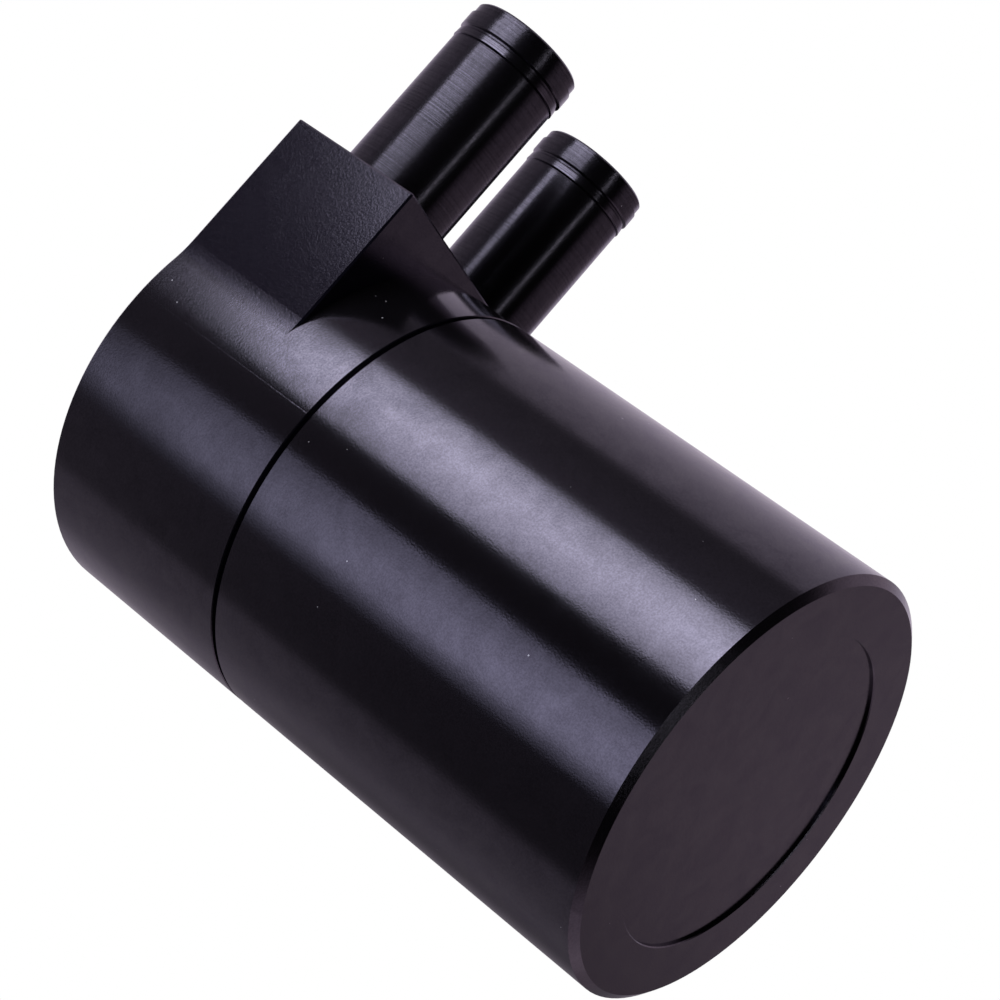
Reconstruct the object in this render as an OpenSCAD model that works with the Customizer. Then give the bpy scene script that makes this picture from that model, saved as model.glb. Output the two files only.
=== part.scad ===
// Oil catch can: a turned cup screws up into a milled head with two hose ports side by side.
// +Z is the can's axis, z = 0 is the foot ring that it stands on, and the ports point along +X.

/* [Can] */
// Outside diameter of the cup and of the head's turned skirt
can_d = 69.5; // [64:0.5:90]
// Height of the cup, from the foot ring to its rim
cup_h = 72.3; // [62:0.1:90]
// Width of the parting gap that shows between the cup and the head
seam_gap = 0.75; // [0.4:0.05:1.5]
// How far the parting gap reaches in from the outside
seam_depth = 1.2; // [0.6:0.1:2]

/* [Cup] */
// Wall of the cup beside its main bore
cup_wall = 4.1; // [3.2:0.1:5]
// Thickness of the cup's floor at the foot ring
floor_t = 5.5; // [4:0.1:9]
// Radius that joins the cup's floor to its bore
floor_fillet = 3; // [1:0.5:6]
// Width of the flat ring that the cup stands on, round the recess in its underside
foot_w = 8.1; // [4:0.1:12]
// Depth of that recess
recess_depth = 1; // [0.4:0.1:2]
// Width of the bevel round the foot, across the base
foot_bevel_r = 1.25; // [0.4:0.05:2]
// Height of the bevel round the foot, up the side
foot_bevel_h = 1; // [0.4:0.05:2]
// Small break on the turned edges of the seam and the recess
turned_break = 0.15; // [0.05:0.05:0.25]

/* [Screwed joint] */
// Radial height that the thread takes up between the cup's bore and the spigot
thread_height = 0.85; // [0.6:0.05:1.2]
// Length of the spigot's threaded part
thread_l = 13; // [9:0.5:18]
// Length of the plain land above the thread, which centres the cup
pilot_l = 5.8; // [5:0.1:9]
// Radial clearance of that land in the cup's mouth
pilot_clear = 0.05; // [0.02:0.01:0.1]
// Radial clearance of the spigot in the cup's bore
spigot_clear = 0.1; // [0.05:0.05:0.3]
// How far the cup's thread relief runs past the spigot's end
relief_l = 1.5; // [0.5:0.1:3]
// Radial step from the thread's crest to the land
pilot_step = 0.25; // [0.1:0.05:0.5]
// Depth of the seal's groove in the cup's mouth
gland_depth = 1.35; // [1.1:0.05:1.5]
// Width of the seal's groove
gland_w = 2.5; // [2.3:0.1:3]
// Distance from the cup's rim to the middle of the groove
gland_drop = 2.8; // [2:0.1:3.5]
// Height of the seal ring's section once it is squeezed
seal_section = 2.05; // [1.8:0.05:2.2]

/* [Head] */
// Height of the round skirt below the block
skirt_h = 12.1; // [8:0.1:20]
// Height of the block that carries the ports
block_h = 24.65; // [24:0.05:34]
// How far the block's flat sides lie inside the round body
side_inset = 1.3; // [0.5:0.1:4]
// How far the block's front face stands out in front of the round body
front_proud = 1.05; // [0.4:0.05:6]
// Radius of the hollow corner that joins the flat side to the round body
corner_r = 18.5; // [8:0.5:26]
// Break on the milled edges of the block
edge_break = 0.3; // [0.1:0.05:0.5]
// Wall of the spigot beside the chamber inside the head
spigot_wall = 3.05; // [2:0.05:4]
// Distance of the chamber's roof below the block's underside
roof_drop = 1.2; // [0.5:0.1:4]

/* [Ports] */
// Outside diameter of the hose tubes
port_d = 19.05; // [16:0.05:20]
// Wall of the hose tubes
port_wall = 2.5; // [2:0.1:3]
// Distance of a tube's axis from the block's flat side beside it
port_inset = 15.3; // [13:0.1:17]
// Height of the tubes' axes above the block's underside
port_rise = 13.15; // [12:0.05:15]
// Length of a tube in front of the block
port_l = 32.6; // [26:0.1:45]
// Radial height of the lip that holds the hose
lip_height = 0.275; // [0.15:0.025:0.8]
// Length of the lip
lip_l = 2.4; // [1.5:0.05:5]
// Length of the sloping bead behind the lip
bead_l = 1.05; // [0.6:0.05:3]
// Radial height of the bead's back edge above the tube
bead_height = 0.15; // [0.05:0.01:0.3]
// Width of the neck between the bead and the lip
neck_w = 0.65; // [0.3:0.05:1.5]
// Width of the fine groove where the tube meets the bead
scribe_w = 0.35; // [0.2:0.05:0.6]
// Depth of the neck and of the fine groove
groove_depth = 0.12; // [0.05:0.01:0.3]
// Length of the nose in front of the lip
nose_l = 1.9; // [1.2:0.1:4]
// Bevel at the nose's end
nose_bevel = 0.3; // [0.1:0.05:0.6]
// Radial step from the tube to its pressed-in end
press_step = 0.75; // [0.4:0.05:1.2]
// Length of the pressed-in end
press_l = 14; // [8:0.5:16]
// Radial gap that the retaining compound fills
bond_gap = 0.02; // [0.01:0.01:0.05]

/* [Baffle stack] */
// Distance of the two risers from the can's axis, along the ports
riser_x = 8; // [6:0.5:10]
// Diameter of the risers that join the ports to the chamber
riser_d = 13; // [10:0.5:13]
// Length of the drop tube inside its riser
drop_press_l = 6; // [4:0.5:7]
// Wall of the drop tube
drop_wall = 1; // [0.8:0.1:1.5]
// Distance of the drop tube's lower end above the cup's floor
drop_gap = 25; // [14:0.5:40]
// Radial clearance round the drop tube where it passes the stack
drop_clear = 0.2; // [0.1:0.05:0.4]
// Radial clearance round the two perforated discs and the mesh
disc_clear = 0.2; // [0.1:0.05:0.5]
// Thickness of a perforated disc
disc_t = 1.5; // [1:0.1:3]
// Thickness of the mesh between the discs
mesh_t = 14; // [8:0.5:16]
// Length of the spacers between the head and the upper disc
spacer_l = 12; // [8:0.5:16]
// Diameter of the spacers and of the sleeves in the mesh
spacer_d = 8; // [7:0.5:10]
// Distance of the three screws' axes from the discs' edge
screw_inset = 6.3; // [5.5:0.1:8]
// Diameter of the screws
screw_d = 4; // [3:0.5:4.5]
// Length of a screw in the head's metal
screw_grip = 9; // [6:0.5:12]
// Radial clearance of the holes that the screws pass through
screw_clear = 0.15; // [0.1:0.05:0.3]
// Diameter of the screws' heads
screw_head_d = 7.6; // [6:0.2:8]
// Height of the screws' heads
screw_head_h = 2.2; // [1.5:0.1:3]
// Width across flats of the screws' hexagon sockets
socket_w = 2.5; // [2:0.1:3]
// Diameter of the washers
washer_d = 9; // [7:0.5:10]
// Thickness of the washers
washer_t = 0.8; // [0.5:0.1:1.2]
// Diameter of the holes in the upper disc
upper_hole_d = 3.2; // [2:0.2:4]
// Diameter of the holes in the lower disc
lower_hole_d = 4; // [2:0.2:4.4]
// Distance between rings of holes, and about the distance between holes in a ring
hole_pitch = 6.2; // [5.4:0.2:9]
// Metal left between a disc's holes and its edge, tube or screws
hole_web = 1.2; // [0.8:0.1:2]

/* [Bracket holes] */
// Tapping diameter of the two threaded holes in the top
bracket_hole_d = 5; // [4.2:0.1:6.8]
// Depth of the threaded holes
bracket_hole_l = 12; // [8:0.5:14]
// Bevel round the mouth of the threaded holes
bracket_bevel = 0.5; // [0.2:0.1:0.8]
// Distance between the threaded holes, across the ports
bracket_pitch = 25; // [20:0.5:30]
// Distance of the threaded holes behind the can's axis
bracket_back = 17; // [15:0.5:20]

/* [Hidden] */
$fn = 96;

// Length that a cutter runs past the metal
over = 1;
// Slope of a drill's point, as its height over its radius
drill_point = 0.6;
// How far a drilled hole runs past the end of the piece in it
hole_room = 1.5;
// Metal left between a disc's holes and its spacers or washers
washer_room = 0.2;

// Radii of the can, its bore and the screwed joint
can_r = can_d / 2;
bore_r = can_r - cup_wall;
thread_r = bore_r + thread_height;
spigot_r = bore_r - spigot_clear;
relief_r = thread_r + pilot_clear;
pilot_r = thread_r + pilot_step;
mouth_r = pilot_r + pilot_clear;
gland_r = mouth_r + gland_depth;
chamber_r = spigot_r - spigot_wall;
seam_r = can_r - seam_depth;

// Heights of the joint and the head
rim_z = cup_h;
skirt_z = rim_z + seam_gap;
block_z = skirt_z + skirt_h;
top_z = block_z + block_h;
pilot_z = rim_z - pilot_l;
spigot_z = pilot_z - thread_l;
relief_z = spigot_z - relief_l;
gland_z = rim_z - gland_drop;
roof_z = block_z - roof_drop;

// Plan of the block: the hollow corners touch the flat sides and blend into the round body, which
// they cross by a hair's breadth so that the milled and the turned faces meet at an angle
corner_cross = 0.02;
half_w = can_r - side_inset;
block_x = can_r + front_proud;
corner_y = half_w + corner_r;
corner_x = sqrt(pow(can_r + corner_r - corner_cross, 2) - pow(corner_y, 2));

// Ports and risers
port_r = port_d / 2;
port_y = half_w - port_inset;
port_bore_r = port_r - port_wall;
press_r = port_r - press_step;
lip_r = port_r + lip_height;
port_z = block_z + port_rise;
tip_x = block_x + port_l;
riser_r = riser_d / 2;
drop_r = riser_r - bond_gap;

// The stack that hangs from the chamber's roof, from the top down
disc_r = chamber_r - disc_clear;
screw_pcd_r = disc_r - screw_inset;
upper_z = roof_z - spacer_l - disc_t;
mesh_z = upper_z - mesh_t;
lower_z = mesh_z - disc_t;
washer_z = lower_z - washer_t;
screw_r = screw_d / 2;
passing_r = screw_r + screw_clear;
spacer_r = spacer_d / 2;

// Where one of the three screws stands
function screw_place(i) = [screw_pcd_r * cos(120 * i), screw_pcd_r * sin(120 * i)];
// Whether a disc's hole of radius r at p stays clear of the edge, the drop tube and the screws
function hole_fits(p, r) =
    norm(p) + r + hole_web < disc_r
    && norm(p - [riser_x, -port_y]) > r + drop_r + drop_clear + hole_web
    && min([for (i = [0:2]) norm(p - screw_place(i))]) > r + max(spacer_r, washer_d / 2) + washer_room;

// A square bar along an edge, which breaks that edge by c when it is taken away
module edge_bar(l, c) {
    rotate([45, 0, 0]) translate([0, -c / sqrt(2), -c / sqrt(2)]) cube([l, c * sqrt(2), c * sqrt(2)]);
}

// A drilled hole that starts at the origin and runs up +Z, with the drill's pointed end
module drilled(r, l) {
    translate([0, 0, -over]) cylinder(r = r, h = l + over);
    translate([0, 0, l]) cylinder(r1 = r, r2 = 0, h = r * drill_point);
}

// The round cutter that leaves a hollow corner, flared at both ends to break its edges
module corner_cutter() {
    rotate_extrude($fn = 180)
        polygon([[0, -over], [corner_r + edge_break + over, -over], [corner_r, edge_break],
                 [corner_r, block_h - edge_break], [corner_r + edge_break + over, block_h + over],
                 [0, block_h + over]]);
}

// What a mill leaves of the block: flat sides, flat front and the two hollow corners, with the edges broken
module block_milled() {
    difference() {
        union() {
            translate([0, -half_w, 0]) cube([block_x, 2 * half_w, block_h]);
            for (side = [-1, 1])
                linear_extrude(height = block_h)
                polygon([[0, 0], [corner_x, side * corner_y], [corner_x, side * half_w]]);
        }
        for (side = [-1, 1]) {
            translate([corner_x, side * corner_y, 0]) corner_cutter();
            translate([block_x, side * half_w, -over]) rotate([0, -90, 0])
                edge_bar(block_h + 2 * over, edge_break);
            for (z = [0, block_h])
                translate([corner_x, side * half_w, z]) edge_bar(block_x - corner_x + over, edge_break);
        }
        for (z = [0, block_h])
            translate([block_x, -half_w - over, z]) rotate([0, 0, 90])
                edge_bar(2 * (half_w + over), edge_break);
    }
}

// What a lathe leaves of the head: skirt, shadow gap, centring land and threaded spigot
module head_turned() {
    rotate_extrude($fn = 180)
        polygon([[0, top_z], [can_r - edge_break, top_z], [can_r, top_z - edge_break],
                 [can_r, skirt_z + turned_break],
                 [can_r - turned_break, skirt_z], [seam_r, skirt_z], [seam_r, rim_z],
                 [pilot_r, rim_z], [pilot_r, pilot_z + pilot_step], [spigot_r, pilot_z],
                 [spigot_r, spigot_z + edge_break], [spigot_r - edge_break, spigot_z],
                 [0, spigot_z]]);
}

// One port's passage: the seat of the pressed tube, the cross bore, and the riser to the chamber
module port_passage(side) {
    translate([block_x, side * port_y, port_z]) rotate([0, -90, 0]) {
        drilled(press_r + bond_gap, press_l + hole_room);
        drilled(port_bore_r, block_x - riser_x);
    }
    translate([riser_x, side * port_y, roof_z - over])
        cylinder(r = riser_r, h = port_z - roof_z + over);
}

module head() {
    color([0.10, 0.10, 0.12])
    difference() {
        union() {
            head_turned();
            translate([0, 0, block_z]) block_milled();
        }
        translate([0, 0, spigot_z - over]) cylinder(r = chamber_r, h = roof_z - spigot_z + over, $fn = 180);
        for (side = [-1, 1]) {
            port_passage(side);
            translate([-bracket_back, side * bracket_pitch / 2, top_z]) rotate([180, 0, 0]) {
                drilled(bracket_hole_d / 2, bracket_hole_l);
                cylinder(r1 = bracket_hole_d / 2 + bracket_bevel, r2 = bracket_hole_d / 2, h = bracket_bevel);
            }
        }
        for (i = [0:2])
            translate([screw_place(i)[0], screw_place(i)[1], roof_z])
                drilled(screw_r + bond_gap, screw_grip + hole_room);
    }
}

// Section of the cup's outside, with its bevelled foot and the recess under its base
module cup_outline() {
    recess_r = can_r - foot_bevel_r - foot_w;
    polygon([[0, recess_depth], [recess_r, recess_depth], [recess_r, turned_break],
             [recess_r + turned_break, 0], [can_r - foot_bevel_r, 0], [can_r, foot_bevel_h],
             [can_r, rim_z - turned_break], [can_r - turned_break, rim_z], [0, rim_z]]);
}

// Section of the cup's inside: bore with a rounded floor, thread relief, mouth and seal groove
module cup_hollow() {
    translate([0, floor_t]) square([bore_r - floor_fillet, rim_z]);
    translate([0, floor_t + floor_fillet]) square([bore_r, rim_z]);
    translate([bore_r - floor_fillet, floor_t + floor_fillet]) circle(r = floor_fillet);
    translate([0, relief_z]) square([relief_r, rim_z]);
    polygon([[0, pilot_z - pilot_step], [relief_r, pilot_z - pilot_step - turned_break], [mouth_r, pilot_z],
             [mouth_r, rim_z - edge_break], [mouth_r + edge_break, rim_z],
             [mouth_r + edge_break, rim_z + over], [0, rim_z + over]]);
    translate([0, gland_z - gland_w / 2]) square([gland_r, gland_w]);
}

module cup() {
    color([0.11, 0.10, 0.13])
    rotate_extrude($fn = 180)
        difference() {
            cup_outline();
            intersection() {
                cup_hollow();
                square([can_r, rim_z + over]);
            }
        }
}

// Rubber ring squeezed between the cup's groove and the head's land
module cup_seal() {
    squeezed = gland_r - pilot_r - 2 * bond_gap;
    color([0.03, 0.03, 0.03])
    rotate_extrude($fn = 180)
        translate([pilot_r + bond_gap + squeezed / 2, gland_z])
        intersection() {
            circle(d = seal_section, $fn = 48);
            square([squeezed, seal_section], center = true);
        }
}

// Turned hose tube with a pressed-in end, a bead and lip for the hose, and a bevelled nose
module port(side) {
    lip_end = port_l - nose_l;
    lip_start = lip_end - lip_l;
    bead_end = lip_start - neck_w;
    bead_start = bead_end - bead_l;
    color([0.09, 0.09, 0.10])
    translate([block_x, side * port_y, port_z]) rotate([0, 90, 0])
    rotate_extrude()
        polygon([[port_bore_r, -press_l], [press_r - edge_break, -press_l],
                 [press_r, edge_break - press_l], [press_r, 0], [port_r, 0],
                 [port_r, bead_start - scribe_w], [port_r - groove_depth, bead_start - scribe_w / 2],
                 [port_r + bead_height, bead_start], [port_r + bead_height / 3, bead_end],
                 [port_r - groove_depth, bead_end + neck_w / 4],
                 [port_r - groove_depth, lip_start - neck_w / 4],
                 [lip_r - turned_break, lip_start], [lip_r, lip_start + turned_break],
                 [lip_r, lip_end], [port_r, lip_end], [port_r, port_l - nose_bevel],
                 [port_r - nose_bevel, port_l], [port_bore_r + nose_bevel, port_l],
                 [port_bore_r, port_l - nose_bevel]]);
}

// Inlet tube that carries the oily air down past the stack
module drop_tube() {
    top = roof_z + drop_press_l;
    low = floor_t + drop_gap;
    inner = drop_r - drop_wall;
    rim = drop_wall / 4;
    color([0.62, 0.63, 0.65])
    translate([riser_x, -port_y, 0])
    rotate_extrude()
        polygon([[inner, low + rim], [inner + rim, low], [drop_r - rim, low], [drop_r, low + rim],
                 [drop_r, top - rim], [drop_r - rim, top], [inner + rim, top], [inner, top - rim]]);
}

// Holes that every disc of the stack has: one for the drop tube and three for the screws or sleeves
module stack_holes(z, t, r) {
    translate([riser_x, -port_y, z - over]) cylinder(r = drop_r + drop_clear, h = t + 2 * over);
    for (i = [0:2])
        translate([screw_place(i)[0], screw_place(i)[1], z - over]) cylinder(r = r, h = t + 2 * over);
}

// Disc with rings of drilled holes, every other ring turned by half a step
module perforated_disc(z, hole_r, shift) {
    rings = floor((disc_r - hole_r - hole_web) / hole_pitch);
    difference() {
        translate([0, 0, z]) cylinder(r = disc_r, h = disc_t, $fn = 180);
        stack_holes(z, disc_t, passing_r);
        for (ring = [0:rings]) {
            count = ring == 0 ? 1 : 6 * ring;
            for (k = [0:count - 1]) {
                turn = 360 / count * (k + (ring % 2 == 0 ? shift : 0));
                p = ring * hole_pitch * [cos(turn), sin(turn)];
                if (hole_fits(p, hole_r))
                    translate([p[0], p[1], z - over]) cylinder(r = hole_r, h = disc_t + 2 * over, $fn = 24);
            }
        }
    }
}

module upper_baffle() {
    color([0.66, 0.67, 0.69]) perforated_disc(upper_z, upper_hole_d / 2, 0);
}

module lower_baffle() {
    color([0.66, 0.67, 0.69]) perforated_disc(lower_z, lower_hole_d / 2, 0.5);
}

// Knitted wire pad that the oil mist settles on
module mesh_pack() {
    color([0.5, 0.5, 0.5])
    difference() {
        translate([0, 0, mesh_z]) cylinder(r = disc_r, h = mesh_t, $fn = 180);
        stack_holes(mesh_z, mesh_t, spacer_r + screw_clear);
    }
}

// Tube over screw i, from z up
module stack_tube(i, z, l) {
    color([0.7, 0.71, 0.72])
    translate([screw_place(i)[0], screw_place(i)[1], z])
    difference() {
        cylinder(r = spacer_r, h = l);
        translate([0, 0, -over]) cylinder(r = passing_r, h = l + 2 * over);
    }
}

// Washer under the head of screw i
module screw_washer(i) {
    color([0.7, 0.71, 0.72])
    translate([screw_place(i)[0], screw_place(i)[1], washer_z])
    difference() {
        cylinder(d = washer_d, h = washer_t);
        translate([0, 0, -over]) cylinder(r = passing_r, h = washer_t + 2 * over);
    }
}

// Button-head screw i, from below the stack up into the head
module baffle_screw(i) {
    shank_l = roof_z + screw_grip - washer_z;
    crown_r = screw_head_d / 2;
    flat_r = crown_r * 0.55;
    color([0.55, 0.56, 0.58])
    translate([screw_place(i)[0], screw_place(i)[1], washer_z])
    difference() {
        rotate_extrude()
            polygon([[0, shank_l], [screw_r - edge_break, shank_l], [screw_r, shank_l - edge_break],
                     [screw_r, 0], [crown_r, 0], [crown_r, -screw_head_h * 0.25],
                     [crown_r * 0.9, -screw_head_h * 0.6], [flat_r, -screw_head_h], [0, -screw_head_h]]);
        translate([0, 0, -screw_head_h - over])
            cylinder(d = socket_w / cos(30), h = screw_head_h * 0.65 + over, $fn = 6);
    }
}

head();
cup();
cup_seal();
port(-1);  // inlet_port
port(1);  // outlet_port
drop_tube();
upper_baffle();
mesh_pack();
lower_baffle();
for (i = [0:2]) {
    stack_tube(i, roof_z - spacer_l, spacer_l);
    stack_tube(i, mesh_z, mesh_t);
    baffle_screw(i);
    screw_washer(i);
}
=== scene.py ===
"""An oil catch can of black anodised aluminium: a turned cup that screws up into a milled head with
two hose ports, and the baffle stack inside. Lengths are in metres, +Z is the can's axis, and the
ports point along +X."""

import math

import bpy
from mathutils import Matrix, Vector


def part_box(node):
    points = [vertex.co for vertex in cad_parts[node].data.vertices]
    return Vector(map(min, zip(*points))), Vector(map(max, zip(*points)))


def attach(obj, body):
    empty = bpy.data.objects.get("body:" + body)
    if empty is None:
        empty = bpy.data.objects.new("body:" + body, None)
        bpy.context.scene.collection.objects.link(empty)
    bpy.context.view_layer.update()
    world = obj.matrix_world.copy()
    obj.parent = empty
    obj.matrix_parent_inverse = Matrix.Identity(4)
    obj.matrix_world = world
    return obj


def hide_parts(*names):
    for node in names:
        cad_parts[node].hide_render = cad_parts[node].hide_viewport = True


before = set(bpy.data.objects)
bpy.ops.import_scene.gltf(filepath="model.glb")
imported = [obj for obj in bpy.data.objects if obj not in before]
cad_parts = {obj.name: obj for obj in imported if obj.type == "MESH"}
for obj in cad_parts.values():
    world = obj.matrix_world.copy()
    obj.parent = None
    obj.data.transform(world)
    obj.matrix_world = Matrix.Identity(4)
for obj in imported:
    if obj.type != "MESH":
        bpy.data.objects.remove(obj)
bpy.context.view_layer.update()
bpy.ops.object.select_all(action="DESELECT")

MM = 0.001
cup_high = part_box("cup")[1]
head_low, head_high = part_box("head")
can_r = cup_high.x
rim_z = cup_high.z


# The studio: a pale floor that fades into white, white paper behind the can, and a dark room on the
# camera's side. The floor shows only from above, so that the low camera looks through it.
FLOOR_DROP = 0.05 * MM
FLOOR_SIZE = 4.0
FLOOR_FADE = (0.16, 0.62)
FLOOR_COLOUR = (0.62, 0.62, 0.63, 1)
FLOOR_GLOW = 0.42
# Levels round the room by bearing in degrees: the walls, the table below them and the ceiling. Each
# edge gives the two places between which one gives way to the next.
ROOM = ((-180, 0.32), (-172, 0.18), (-150, 0.13), (-132, 0.25), (-96, 0.27), (-90, 0.07), (-54, 0.07),
        (-48, 0.006), (50, 0.006), (58, 0.2), (68, 0.17), (86, 0.1), (92, 0.55), (135, 0.72), (165, 0.74),
        (180, 0.32))
TABLE = ((-180, 0.15), (-174, 0.27), (-152, 0.29), (-144, 0.6), (-122, 0.6), (-112, 0.25), (-90, 0.02),
         (106, 0.01), (112, 0.1), (120, 0.6), (144, 0.6), (152, 0.29), (175, 0.27), (180, 0.15))
TABLE_COLOUR = (1.08, 0.86, 1.0, 1)
ROOM_COLOUR = (1.03, 0.91, 1.05, 1)
TABLE_EDGE = (0.12, 0.5)
CEILING = ((-180, 0.8), (-165, 1.0), (-145, 1.0), (-130, 0.35), (130, 0.35), (150, 0.5), (180, 0.8))
CEILING_EDGE = (0.5, 0.85)
HORIZON_EDGE = (-0.15, 0.0)


def add_node(tree, kind, inputs=None, **settings):
    """Adds a node with its settings, and gives each input named a value or a link."""
    made = tree.nodes.new(kind)
    for name, value in settings.items():
        setattr(made, name, value)
    for name, value in (inputs or {}).items():
        if isinstance(value, bpy.types.NodeSocket):
            tree.links.new(value, made.inputs[name])
        else:
            made.inputs[name].default_value = value
    return made


def maths(tree, operation, *values, clamp=False):
    """The output of a Math node on the values or sockets given."""
    made = add_node(tree, "ShaderNodeMath", dict(enumerate(values)), operation=operation)
    made.use_clamp = clamp
    return made.outputs[0]


def spread(tree, value, low, high, to_low=0.0, to_high=1.0):
    """The value rescaled from low and high, and held between them."""
    return add_node(tree, "ShaderNodeMapRange", {
        "Value": value, "From Min": low, "From Max": high, "To Min": to_low, "To Max": to_high,
    }).outputs["Result"]


def mixed(tree, share, first, second):
    """First colour where the share is 0, second where it is 1."""
    return add_node(tree, "ShaderNodeMixRGB", {"Fac": share, "Color1": first, "Color2": second}).outputs[0]


def multiplied(tree, first, second):
    """The two colours multiplied."""
    return add_node(tree, "ShaderNodeMixRGB", {"Fac": 1.0, "Color1": first, "Color2": second},
                    blend_type="MULTIPLY").outputs[0]


def levels_at(tree, share, levels):
    """Grey levels at shares from 0 to 1."""
    ramp = add_node(tree, "ShaderNodeValToRGB", {"Fac": share})
    stops = ramp.color_ramp.elements
    stops.remove(stops[1])
    for place, level in levels:
        stop = stops[0] if place == 0 else stops.new(place)
        stop.color = (level, level, level, 1)
    return ramp.outputs["Color"]


def levels_round(tree, share, levels):
    """Grey levels at bearings from -180 to 180 degrees."""
    return levels_at(tree, share, [((degrees + 180) / 360, level) for degrees, level in levels])


world = bpy.data.worlds.new("Studio")
bpy.context.scene.world = world
world.use_nodes = True
room = world.node_tree
room.nodes.clear()
ray = add_node(room, "ShaderNodeTexCoord").outputs["Generated"]
ray_x, ray_y, ray_z = add_node(room, "ShaderNodeSeparateXYZ", {"Vector": ray}).outputs
bearing = maths(room, "ARCTAN2", ray_x, maths(room, "MULTIPLY", ray_y, -1))
share = spread(room, bearing, -math.pi, math.pi)
table = multiplied(room, levels_round(room, share, TABLE),
                   mixed(room, spread(room, ray_y, *TABLE_EDGE), (0, 0, 0, 1), TABLE_COLOUR))
walls = mixed(room, spread(room, ray_z, *CEILING_EDGE), levels_round(room, share, ROOM),
              levels_round(room, share, CEILING))
around = add_node(room, "ShaderNodeBackground", {
    "Color": mixed(room, spread(room, ray_z, *HORIZON_EDGE), table, multiplied(room, walls, ROOM_COLOUR))})
paper = add_node(room, "ShaderNodeBackground", {"Color": (1, 1, 1, 1)})
camera_ray = add_node(room, "ShaderNodeLightPath").outputs["Is Camera Ray"]
seen = add_node(room, "ShaderNodeMixShader", {0: camera_ray, 1: around.outputs[0], 2: paper.outputs[0]})
add_node(room, "ShaderNodeOutputWorld", {"Surface": seen.outputs[0]})

bpy.ops.mesh.primitive_plane_add(size=FLOOR_SIZE, location=(0, 0, -FLOOR_DROP))
floor = bpy.context.object
floor.name = "floor"
floor_paint = bpy.data.materials.new("Floor")
floor_paint.use_nodes = True
tree = floor_paint.node_tree
tree.nodes.clear()
place = add_node(tree, "ShaderNodeTexCoord").outputs["Object"]
distance = add_node(tree, "ShaderNodeVectorMath", {0: place}, operation="LENGTH").outputs["Value"]
gone = maths(tree, "MAXIMUM", spread(tree, distance, *FLOOR_FADE),
             add_node(tree, "ShaderNodeNewGeometry").outputs["Backfacing"])
matt = add_node(tree, "ShaderNodeBsdfDiffuse", {"Color": FLOOR_COLOUR})
glow = add_node(tree, "ShaderNodeEmission", {"Color": (1, 1, 1, 1), "Strength": FLOOR_GLOW})
matt = add_node(tree, "ShaderNodeAddShader", {0: matt.outputs[0], 1: glow.outputs[0]})
clear = add_node(tree, "ShaderNodeBsdfTransparent")
shown = add_node(tree, "ShaderNodeMixShader", {0: gone, 1: matt.outputs[0], 2: clear.outputs[0]})
add_node(tree, "ShaderNodeOutputMaterial", {"Surface": shown.outputs[0]})
floor.data.materials.append(floor_paint)
floor_paint.cycles.emission_sampling = "NONE"
floor.visible_glossy = False
floor.visible_diffuse = False
floor.visible_shadow = False


# The lights: two tall softboxes on the camera's side, brighter in the middle, and a low strip.
# Each is given by the bearing and height that the can sees it at, its width and height and its
# level, with the shares of that level at places across it, from left to right, and up it.
LIGHT_DISTANCE = 0.7
LIGHT_CORNER = 0.07
LIGHT_CORNER_STEPS = 8
THIN_LIGHT_CORNER = 0.4
RIGHT_ACROSS = ((0, 0.4), (0.3, 0.81), (0.5, 1.0), (0.62, 0.96), (0.85, 0.68), (1, 0.32))
RIGHT_UP = ((0, 0.88), (0.2, 0.78), (0.35, 0.85), (0.5, 1.0), (0.64, 0.77), (1, 0.77))
RIGHT_COLOUR = (0.98, 0.99, 1.08, 1)
LEFT_ACROSS = ((0, 0.12), (0.1, 0.3), (0.18, 0.5), (0.27, 0.9), (0.37, 1.0), (0.58, 1.0), (0.8, 0.74),
               (1, 0.58))
LEFT_UP = ((0, 1.0), (0.72, 1.0), (0.86, 0.64), (1, 0.42))
LEFT_COLOUR = (0.97, 0.98, 1.17, 1)
EVEN = ((0, 1.0), (1, 1.0))
WHITE = (1, 1, 1, 1)


def softbox(name, bearing, height, wide, tall, level, colour, across, up):
    """A glowing panel that faces the can, invisible to the camera itself. Angles are in degrees."""
    bearing, height, wide, tall = (math.radians(angle) for angle in (bearing, height, wide, tall))
    towards = Vector((math.sin(bearing) * math.cos(height), -math.cos(bearing) * math.cos(height),
                      math.sin(height)))
    bpy.ops.mesh.primitive_plane_add(size=1, location=towards * LIGHT_DISTANCE)
    panel = bpy.context.object
    panel.name = name
    panel.rotation_euler = towards.to_track_quat("Z", "Y").to_euler()
    width = 2 * LIGHT_DISTANCE * math.tan(wide / 2)
    length = 2 * LIGHT_DISTANCE * math.tan(tall / 2)
    panel.scale = (width, length, 1)
    bpy.ops.object.transform_apply(location=False, rotation=False, scale=True)
    rounded = panel.modifiers.new("Corners", "BEVEL")
    rounded.affect = "VERTICES"
    rounded.width = min(LIGHT_CORNER, THIN_LIGHT_CORNER * length)
    rounded.segments = LIGHT_CORNER_STEPS
    bpy.ops.object.modifier_apply(modifier=rounded.name)
    glow = bpy.data.materials.new(name)
    glow.use_nodes = True
    tree = glow.node_tree
    tree.nodes.clear()
    x, y, _ = add_node(tree, "ShaderNodeSeparateXYZ", {
        "Vector": add_node(tree, "ShaderNodeTexCoord").outputs["Object"]}).outputs
    shade = multiplied(tree, levels_at(tree, spread(tree, x, -width / 2, width / 2), across),
                       levels_at(tree, spread(tree, y, -length / 2, length / 2), up))
    shade = multiplied(tree, shade, colour)
    light = add_node(tree, "ShaderNodeEmission", {"Color": shade, "Strength": level})
    add_node(tree, "ShaderNodeOutputMaterial", {"Surface": light.outputs[0]})
    panel.data.materials.append(glow)
    panel.visible_camera = False


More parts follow.
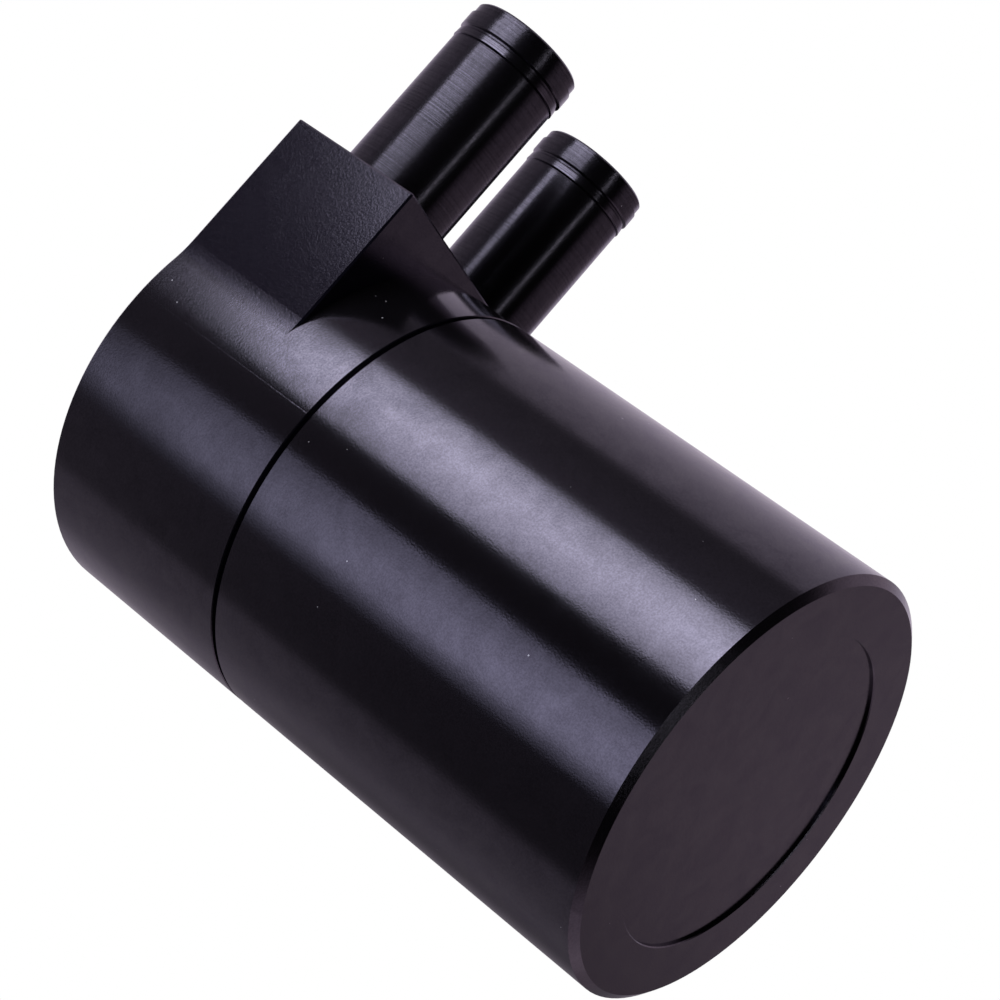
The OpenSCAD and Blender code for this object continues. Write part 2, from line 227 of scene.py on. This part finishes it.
softbox("softbox_right", bearing=32.4, height=18, wide=34.7, tall=45, level=8.2,
        colour=RIGHT_COLOUR, across=RIGHT_ACROSS, up=RIGHT_UP)
softbox("softbox_left", bearing=-29.2, height=15, wide=34.6, tall=58, level=2.5,
        colour=LEFT_COLOUR, across=LEFT_ACROSS, up=LEFT_UP)
softbox("strip_below", bearing=0, height=-69.3, wide=60, tall=3, level=3.2,
        colour=WHITE, across=EVEN, up=EVEN)


# The camera looks up at the can from below and in front, rolled so that the ports point up and right.
CAMERA_PLACE = (-41.281 * MM, -354.976 * MM, -148.394 * MM)
CAMERA_BEARING = math.radians(-8.5902)
CAMERA_HEIGHT = math.radians(-30.2256)
CAMERA_ROLL = math.radians(-53.868)
SENSOR_WIDTH = 36
LENS_LENGTH = 100.91
NEAREST_SEEN = 0.01
FARTHEST_SEEN = 20

camera_data = bpy.data.cameras.new("Camera")
camera_data.sensor_width = SENSOR_WIDTH
camera_data.lens = LENS_LENGTH
camera_data.clip_start = NEAREST_SEEN
camera_data.clip_end = FARTHEST_SEEN
camera = bpy.data.objects.new("Camera", camera_data)
bpy.context.scene.collection.objects.link(camera)
turned = Matrix.Rotation(CAMERA_BEARING, 3, "Z") @ Matrix.Rotation(math.pi / 2 - CAMERA_HEIGHT, 3, "X")
camera.rotation_euler = (turned @ Matrix.Rotation(CAMERA_ROLL, 3, "Z")).to_euler()
camera.location = CAMERA_PLACE
bpy.context.scene.camera = camera
bpy.context.scene.view_settings.view_transform = "Standard"


# Marks that the aluminium pieces share. Rings are the fine grooves that a lathe tool leaves along its
# travel, beads are the even grain of a blasted face, and dust is the few pale specks that settle.
DRIFT_RATE = 0.12
SMUDGE_SCALE = 190.0


def new_group(name, inputs, outputs):
    """An empty shader node group with the sockets named, and its two end nodes' sockets."""
    group = bpy.data.node_groups.new(name, "ShaderNodeTree")
    for title, kind, value in inputs:
        made = group.interface.new_socket(title, in_out="INPUT", socket_type=kind)
        if value is not None:
            made.default_value = value
    for title in outputs:
        group.interface.new_socket(title, in_out="OUTPUT", socket_type="NodeSocketFloat")
    return group, group.nodes.new("NodeGroupInput").outputs, group.nodes.new("NodeGroupOutput").inputs


rings_group, given, made = new_group(
    "Turned rings", [("Along", "NodeSocketFloat", 0.0), ("Pitch", "NodeSocketFloat", 0.2 * MM)],
    ["Grooves", "Drift"])
turns = maths(rings_group, "DIVIDE", given["Along"], given["Pitch"])
fine = add_node(rings_group, "ShaderNodeTexNoise", {
    "W": turns, "Scale": 1.0, "Detail": 3.0, "Roughness": 0.6}, noise_dimensions="1D")
slowed = maths(rings_group, "MULTIPLY", turns, DRIFT_RATE)
slow = add_node(rings_group, "ShaderNodeTexNoise", {
    "W": slowed, "Scale": 1.0, "Detail": 2.0}, noise_dimensions="1D")
rings_group.links.new(fine.outputs["Fac"], made["Grooves"])
rings_group.links.new(slow.outputs["Fac"], made["Drift"])

beads_group, given, made = new_group(
    "Blasted beads", [("Place", "NodeSocketVector", None), ("Bead", "NodeSocketFloat", 0.3 * MM)], ["Grain"])
beads = add_node(beads_group, "ShaderNodeTexNoise", {
    "Vector": given["Place"], "Scale": maths(beads_group, "DIVIDE", 1.0, given["Bead"]), "Detail": 2.0})
beads_group.links.new(beads.outputs["Fac"], made["Grain"])

dust_group, given, made = new_group(
    "Dust and smudges", [("Place", "NodeSocketVector", None), ("Spacing", "NodeSocketFloat", 3 * MM),
                         ("Speck", "NodeSocketFloat", 0.03), ("Share", "NodeSocketFloat", 0.2)],
    ["Specks", "Smudges"])
cells = add_node(dust_group, "ShaderNodeTexVoronoi", {
    "Vector": given["Place"], "Scale": maths(dust_group, "DIVIDE", 1.0, given["Spacing"])})
small = maths(dust_group, "LESS_THAN", cells.outputs["Distance"], given["Speck"])
chance = add_node(dust_group, "ShaderNodeSeparateColor", {"Color": cells.outputs["Color"]}).outputs[0]
specks = maths(dust_group, "MULTIPLY", small, maths(dust_group, "LESS_THAN", chance, given["Share"]))
clouds = add_node(dust_group, "ShaderNodeTexNoise", {
    "Vector": given["Place"], "Scale": SMUDGE_SCALE, "Detail": 4.0, "Roughness": 0.6, "Distortion": 0.8})
dust_group.links.new(specks, made["Specks"])
dust_group.links.new(clouds.outputs["Fac"], made["Smudges"])


# The head: one piece of aluminium, milled and turned, blasted on its flats and anodised black. Its
# round side is smoother, and a shallow tool mark runs down it where the milled contour was closed.
ANODISED_BASE = (0.0035, 0.0030, 0.0037, 1)
BLASTED_BASE = (0.008, 0.007, 0.015, 1)
ANODISED_TINT = (0.84, 0.78, 1.0, 1)
ANODISED_IOR = 1.76
DUST_COLOUR = (0.3, 0.3, 0.31, 1)
DUST_SPACING = 2.4 * MM
DUST_SPECK = 0.05
DUST_SHARE = 0.14
SMUDGE_POLISH = 0.025
SMUDGE_FILM = 0.03
SMUDGE_DULLING = 0.2
BEAD = 0.28 * MM
GRAIN_DEPTH = 0.008 * MM
PITS = 0.22
# The head's own marks: on its milled faces, on its top, and where the tool ran out on its round side. The top
# is also darkened with painted shade.
ROUND_BAND = 0.1 * MM
FLAT_PITS = 0.24
FLAT_GRAIN_DEPTH = 0.004 * MM
TOP_BAND = 0.05 * MM
TOP_ROUGHENING = 0.25
TOP_PAINTED_SHADE = 0.5
TOOL_MARK_X = 1.0 * MM
TOOL_MARK_W = 0.3 * MM
TOOL_MARK_DEPTH = 0.005 * MM


def new_finish(name, **values):
    """A material with one Principled shader and its object coordinates."""
    finish = bpy.data.materials.new(name)
    finish.use_nodes = True
    tree = finish.node_tree
    shader = tree.nodes["Principled BSDF"]
    for socket, value in values.items():
        shader.inputs[socket.replace("_", " ")].default_value = value
    place = add_node(tree, "ShaderNodeTexCoord").outputs["Object"]
    return finish, tree, shader, place


def use_group(tree, group, **inputs):
    """The outputs of a node group placed in a material."""
    return add_node(tree, "ShaderNodeGroup", inputs, node_tree=group).outputs


def turned_anodised(name, axis, roughness, stretch, pitch, groove, unevenness, ring_painted_shade):
    """Black anodised aluminium turned about an axis, with the tool's rings along it and fine pits, and
    painted shade that darkens the reflection along the rings.
    """
    finish, tree, shader, place = new_finish(
        name, Specular_Tint=ANODISED_TINT, IOR=ANODISED_IOR, Anisotropic=stretch, Anisotropic_Rotation=0.25)
    along = add_node(tree, "ShaderNodeSeparateXYZ", {"Vector": place}).outputs[axis]
    rings = use_group(tree, rings_group, Along=along, Pitch=pitch)
    dust = use_group(tree, dust_group, Place=place, Spacing=DUST_SPACING, Speck=DUST_SPECK, Share=DUST_SHARE)
    tree.links.new(mixed(tree, dust["Specks"], ANODISED_BASE, DUST_COLOUR), shader.inputs["Base Color"])
    smudged = spread(tree, dust["Smudges"], 0.3, 0.7, roughness - SMUDGE_POLISH, roughness + SMUDGE_FILM)
    uneven = spread(tree, rings["Grooves"], 0.3, 0.7, -unevenness, unevenness)
    tree.links.new(maths(tree, "ADD", smudged, uneven), shader.inputs["Roughness"])
    tree.links.new(add_node(tree, "ShaderNodeTangent", direction_type="RADIAL", axis=axis).outputs[0],
                   shader.inputs["Tangent"])
    bump = add_node(tree, "ShaderNodeBump", {"Height": rings["Grooves"], "Distance": groove})
    grain = use_group(tree, beads_group, Place=place, Bead=BEAD)["Grain"]
    bump = add_node(tree, "ShaderNodeBump", {
        "Height": grain, "Distance": GRAIN_DEPTH, "Normal": bump.outputs[0]})
    tree.links.new(bump.outputs[0], shader.inputs["Normal"])
    # Metallic over the dark base cuts the reflection: at random with the grain for pits, and along the rings
    # as painted groove shade.
    pits_and_painted_shade = maths(tree, "ADD", spread(tree, grain, 0.35, 0.65, 0.0, PITS),
                 spread(tree, rings["Grooves"], 0.35, 0.65, 0.0, ring_painted_shade))
    dulled = spread(tree, dust["Smudges"], 0.3, 0.7, 0.0, SMUDGE_DULLING)
    tree.links.new(maths(tree, "ADD", pits_and_painted_shade, dulled), shader.inputs["Metallic"])
    return finish, tree, shader, place, grain, bump


finish, tree, shader, place, grain, bump = turned_anodised(
    "Anodised head", "Z", roughness=0.135, stretch=0.3, pitch=0.3 * MM, groove=0.0006 * MM,
    unevenness=0.01, ring_painted_shade=0.03)
x, y, z = add_node(tree, "ShaderNodeSeparateXYZ", {"Vector": place}).outputs
radius = maths(tree, "SQRT", maths(tree, "ADD", maths(tree, "POWER", x, 2), maths(tree, "POWER", y, 2)))
from_round = maths(tree, "ABSOLUTE", maths(tree, "SUBTRACT", radius, can_r))
off_round = maths(tree, "GREATER_THAN", from_round, ROUND_BAND)
blasted = maths(tree, "MULTIPLY", grain, off_round)
plain = shader.inputs["Base Color"].links[0].from_socket
tree.links.new(mixed(tree, blasted, plain, BLASTED_BASE), shader.inputs["Base Color"])
smooth = shader.inputs["Roughness"].links[0].from_socket
on_top = maths(tree, "GREATER_THAN", z, head_high.z - TOP_BAND)
tree.links.new(maths(tree, "ADD", smooth, maths(tree, "MULTIPLY", on_top, TOP_ROUGHENING)),
               shader.inputs["Roughness"])
pits_and_painted_shade = shader.inputs["Metallic"].links[0].from_socket
pits_and_painted_shade = maths(tree, "ADD", pits_and_painted_shade, maths(tree, "MULTIPLY", blasted, FLAT_PITS))
# Painted shade on the top face: raising Metallic over the dark base cuts its reflection evenly.
tree.links.new(maths(tree, "ADD", pits_and_painted_shade, maths(tree, "MULTIPLY", on_top, TOP_PAINTED_SHADE)), shader.inputs["Metallic"])
from_mark = maths(tree, "ABSOLUTE", maths(tree, "SUBTRACT", x, TOOL_MARK_X))
mark = maths(tree, "MULTIPLY", spread(tree, from_mark, 0, TOOL_MARK_W / 2), maths(tree, "LESS_THAN", y, 0))
grain_bump = add_node(tree, "ShaderNodeBump", {
    "Height": blasted, "Distance": FLAT_GRAIN_DEPTH, "Normal": bump.outputs[0]})
mark_bump = add_node(tree, "ShaderNodeBump", {
    "Height": mark, "Distance": TOOL_MARK_DEPTH, "Normal": grain_bump.outputs[0]})
tree.links.new(mark_bump.outputs[0], shader.inputs["Normal"])
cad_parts["head"].data.materials[0] = finish


# The cup: turned from bar, with a bevelled foot and a recess below, and anodised black. The recess of
# the real one is a light skim, so the floor of it is set lower here than in the solid.
RECESS_DEPTH = 0.5 * MM
RECESS_ZONE_R = 0.8 * can_r
FOOT_ZONE = 2 * MM
SAME_HEIGHT = 0.01 * MM

finish, *_ = turned_anodised("Anodised cup", "Z", roughness=0.155, stretch=0.7, pitch=0.25 * MM,
                             groove=0.0004 * MM, unevenness=0.01, ring_painted_shade=0.03)
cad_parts["cup"].data.materials[0] = finish
turned_cup = bpy.data.objects.new("turned_cup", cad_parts["cup"].data.copy())
bpy.context.scene.collection.objects.link(turned_cup)
recess = [corner for corner in turned_cup.data.vertices
          if corner.co.z < FOOT_ZONE and math.hypot(corner.co.x, corner.co.y) < RECESS_ZONE_R]
recess_z = max(corner.co.z for corner in recess)
for corner in recess:
    if corner.co.z > recess_z - SAME_HEIGHT:
        corner.co.z = RECESS_DEPTH
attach(turned_cup, "cup")
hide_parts("cup")


# The hose ports: aluminium tubes turned with a bead, a neck and a lip that hold the hose, anodised
# black, and pressed into the head. Their tool's rings are left coarser than the cup's.
# Their rings also carry stronger painted shade, which darkens the reflection along each groove.
for port in ("inlet_port", "outlet_port"):
    finish, *_ = turned_anodised("Anodised " + port.replace("_", " "), "X", roughness=0.2, stretch=0.3,
                                 pitch=0.3 * MM, groove=0.014 * MM, unevenness=0.04, ring_painted_shade=0.3)
    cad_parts[port].data.materials[0] = finish


# The screwed joint: a right-hand thread cut round the head's spigot and inside the cup's mouth. The
# cup's ridge runs halfway between two turns of the head's, with a little room on both flanks.
THREAD_PITCH = 1.5 * MM
THREAD_FLANK = 0.53
CREST_HALF = 0.12 * MM
BURIED = 0.1 * MM
STEPS_A_TURN = 96
CUP_WALL = 4.1 * MM
THREAD_HEIGHT = 0.85 * MM
SPIGOT_CLEAR = 0.1 * MM
CREST_CLEAR = 0.05 * MM
LAND_LENGTH = 5.7 * MM
CUP_THREAD_BELOW = 1.9 * MM
CUP_THREAD_LEAD = 1.0 * MM
FLAT_TO_SMOOTH = math.radians(30)
bore_r = can_r - CUP_WALL
thread_r = bore_r + THREAD_HEIGHT
head_ridge = (bore_r - SPIGOT_CLEAR, thread_r - CREST_CLEAR)
cup_ridge = (thread_r + CREST_CLEAR, bore_r + CREST_CLEAR)


def thread_ridge(name, root_r, crest_r, low_z, high_z, start_z, lead_z, body, slot, finish):
    """A helical ridge from root_r to crest_r, cut off at low_z and high_z, and bevelled at lead_z."""
    outwards = 1 if crest_r > root_r else -1
    root_half = CREST_HALF + (abs(crest_r - root_r) + BURIED) * THREAD_FLANK
    section = ((root_r - outwards * BURIED, -root_half), (crest_r, -CREST_HALF),
               (crest_r, CREST_HALF), (root_r - outwards * BURIED, root_half))
    bpy.ops.mesh.primitive_circle_add(vertices=4, radius=MM, fill_type="NOTHING")
    ridge = bpy.context.object
    ridge.name = name
    for corner, (r, z) in zip(ridge.data.vertices, section):
        corner.co = (r, 0, start_z + z)
    turn = ridge.modifiers.new("Turns", "SCREW")
    turn.axis = "Z"
    turn.screw_offset = THREAD_PITCH
    turn.iterations = math.ceil((high_z - start_z) / THREAD_PITCH) + 1
    turn.steps = turn.render_steps = STEPS_A_TURN
    bpy.ops.object.modifier_apply(modifier=turn.name)
    for corner in ridge.data.vertices:
        r = math.hypot(corner.co.x, corner.co.y)
        limit = root_r + outwards * abs(corner.co.z - lead_z)
        if outwards * (r - limit) > 0:
            corner.co.x, corner.co.y = corner.co.x * limit / r, corner.co.y * limit / r
    bpy.ops.object.mode_set(mode="EDIT")
    for z, keep_above in ((low_z, True), (high_z, False)):
        bpy.ops.mesh.select_all(action="SELECT")
        bpy.ops.mesh.bisect(plane_co=(0, 0, z), plane_no=(0, 0, 1), use_fill=True,
                            clear_inner=keep_above, clear_outer=not keep_above)
    bpy.ops.mesh.select_all(action="SELECT")
    bpy.ops.mesh.normals_make_consistent(inside=False)
    bpy.ops.object.mode_set(mode="OBJECT")
    bpy.ops.object.shade_smooth_by_angle(angle=FLAT_TO_SMOOTH)
    ridge.data.materials.append(finish)
    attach(ridge, body)
    ridge.select_set(False)


thread_low = head_low.z
thread_high = rim_z - LAND_LENGTH
cup_thread_high = thread_high - CUP_THREAD_LEAD
thread_ridge("head_thread", *head_ridge, thread_low, thread_high, thread_low - THREAD_PITCH, thread_low,
             "head", "anodised_head", bpy.data.materials["Anodised head"])
thread_ridge("cup_thread", *cup_ridge, thread_low - CUP_THREAD_BELOW, cup_thread_high,
             thread_low - 2.5 * THREAD_PITCH, cup_thread_high,
             "cup", "anodised_cup", bpy.data.materials["Anodised cup"])


# The seal: a moulded ring of black nitrile rubber. It is squeezed in the groove of the cup's mouth,
# and a film of oil makes it shine unevenly.
SEAL_COLOUR = (0.012, 0.012, 0.013, 1)
SEAL_IOR = 1.52
SEAL_ROUGHNESS = (0.32, 0.55)

finish, tree, shader, place = new_finish("Seal rubber", Base_Color=SEAL_COLOUR, IOR=SEAL_IOR)
film = use_group(tree, dust_group, Place=place)["Smudges"]
tree.links.new(spread(tree, film, 0.3, 0.7, *SEAL_ROUGHNESS), shader.inputs["Roughness"])
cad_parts["cup_seal"].data.materials[0] = finish


# The inside parts: drop tube, spacers and sleeves turned from bare aluminium, the two discs punched
# from bright sheet with a rolled grain, and stainless screws and washers.
def bare_metal(name, colour, axis, roughness, pitch, groove):
    """Bright metal with the marks that its tool or mill left along an axis."""
    finish, tree, shader, place = new_finish(name, Base_Color=colour, Metallic=1.0)
    along = add_node(tree, "ShaderNodeSeparateXYZ", {"Vector": place}).outputs[axis]
    rings = use_group(tree, rings_group, Along=along, Pitch=pitch)
    tree.links.new(spread(tree, rings["Drift"], 0.3, 0.7, roughness - 0.05, roughness + 0.07),
                   shader.inputs["Roughness"])
    bump = add_node(tree, "ShaderNodeBump", {"Height": rings["Grooves"], "Distance": groove})
    tree.links.new(bump.outputs[0], shader.inputs["Normal"])
    return finish


turned_bare = bare_metal("Turned aluminium", (0.78, 0.78, 0.79, 1), "Z",
                         roughness=0.28, pitch=0.2 * MM, groove=0.002 * MM)
rolled_bare = bare_metal("Rolled aluminium", (0.80, 0.80, 0.81, 1), "Y",
                         roughness=0.34, pitch=0.08 * MM, groove=0.001 * MM)
stainless = bare_metal("Stainless steel", (0.60, 0.59, 0.57, 1), "Z",
                       roughness=0.24, pitch=0.1 * MM, groove=0.001 * MM)
for node, finish in (("drop_tube", turned_bare), ("spacer", turned_bare), ("mesh_sleeve", turned_bare),
                     ("upper_baffle", rolled_bare), ("lower_baffle", rolled_bare),
                     ("baffle_screw", stainless), ("screw_washer", stainless)):
    for name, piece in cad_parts.items():
        if name.startswith(node):
            piece.data.materials[0] = finish


# The mesh pack: a pad of knitted stainless wire between the discs, pressed round the sleeves and the
# drop tube. It is built of crimped wire rings, one inside the other and in layers.
WIRE_R = 0.14 * MM
WIRE_LAYERS = 8
WIRE_RINGS = 13
CRIMP_LENGTH = 3.4 * MM
POINTS_A_CRIMP = 6
CRIMP_SWING = 0.45
LAYER_TURN = 0.9
WIRE_COLOUR = (0.62, 0.61, 0.59, 1)
pack_low, pack_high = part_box("mesh_pack")
pack_r = pack_high.x
layer_step = (pack_high.z - pack_low.z) / WIRE_LAYERS
ring_step = pack_r / (WIRE_RINGS + 0.5)
crimp_up = 0.5 * layer_step - WIRE_R
crimp_out = CRIMP_SWING * ring_step
tubes = [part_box(name) for name in ("drop_tube", "mesh_sleeve_1", "mesh_sleeve_2", "mesh_sleeve_3")]
tubes = [((low + high) / 2, (high.x - low.x) / 2 + 1.5 * WIRE_R) for low, high in tubes]

wire_path = bpy.data.curves.new("mesh_pack_wire", "CURVE")
wire_path.dimensions = "3D"
wire_path.bevel_depth = WIRE_R
wire_path.bevel_resolution = 0
for layer in range(WIRE_LAYERS):
    for ring in range(WIRE_RINGS):
        ring_r = (ring + 1) * ring_step - 0.5 * ring_step
        crimps = max(4, round(2 * math.pi * ring_r / CRIMP_LENGTH))
        count = crimps * POINTS_A_CRIMP
        wire = wire_path.splines.new("POLY")
        wire.points.add(count - 1)
        wire.use_cyclic_u = True
        lag = math.pi * (layer + ring)
        for i, point in enumerate(wire.points):
            turn = 2 * math.pi * i / count
            r = ring_r + crimp_out * math.sin(2 * crimps * turn + LAYER_TURN * layer)
            z = pack_low.z + (layer + 0.5) * layer_step + crimp_up * math.sin(crimps * turn + lag)
            x, y = r * math.cos(turn), r * math.sin(turn)
            for middle, clear_r in tubes:
                off = math.hypot(x - middle.x, y - middle.y)
                if off < clear_r:
                    x = middle.x + (x - middle.x) * clear_r / off
                    y = middle.y + (y - middle.y) * clear_r / off
            point.co = (x, y, z, 1)
wire_pack = bpy.data.objects.new("mesh_pack_wire", wire_path)
bpy.context.scene.collection.objects.link(wire_pack)
bpy.context.view_layer.objects.active = wire_pack
wire_pack.select_set(True)
bpy.ops.object.convert(target="MESH")
bpy.ops.object.shade_smooth()
wire_pack = bpy.context.object
wire_pack.data.materials.append(bare_metal("Knitted wire", WIRE_COLOUR, "X",
                                           roughness=0.26, pitch=0.3 * MM, groove=0.0))
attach(wire_pack, "head")
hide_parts("mesh_pack")
wire_pack.select_set(False)
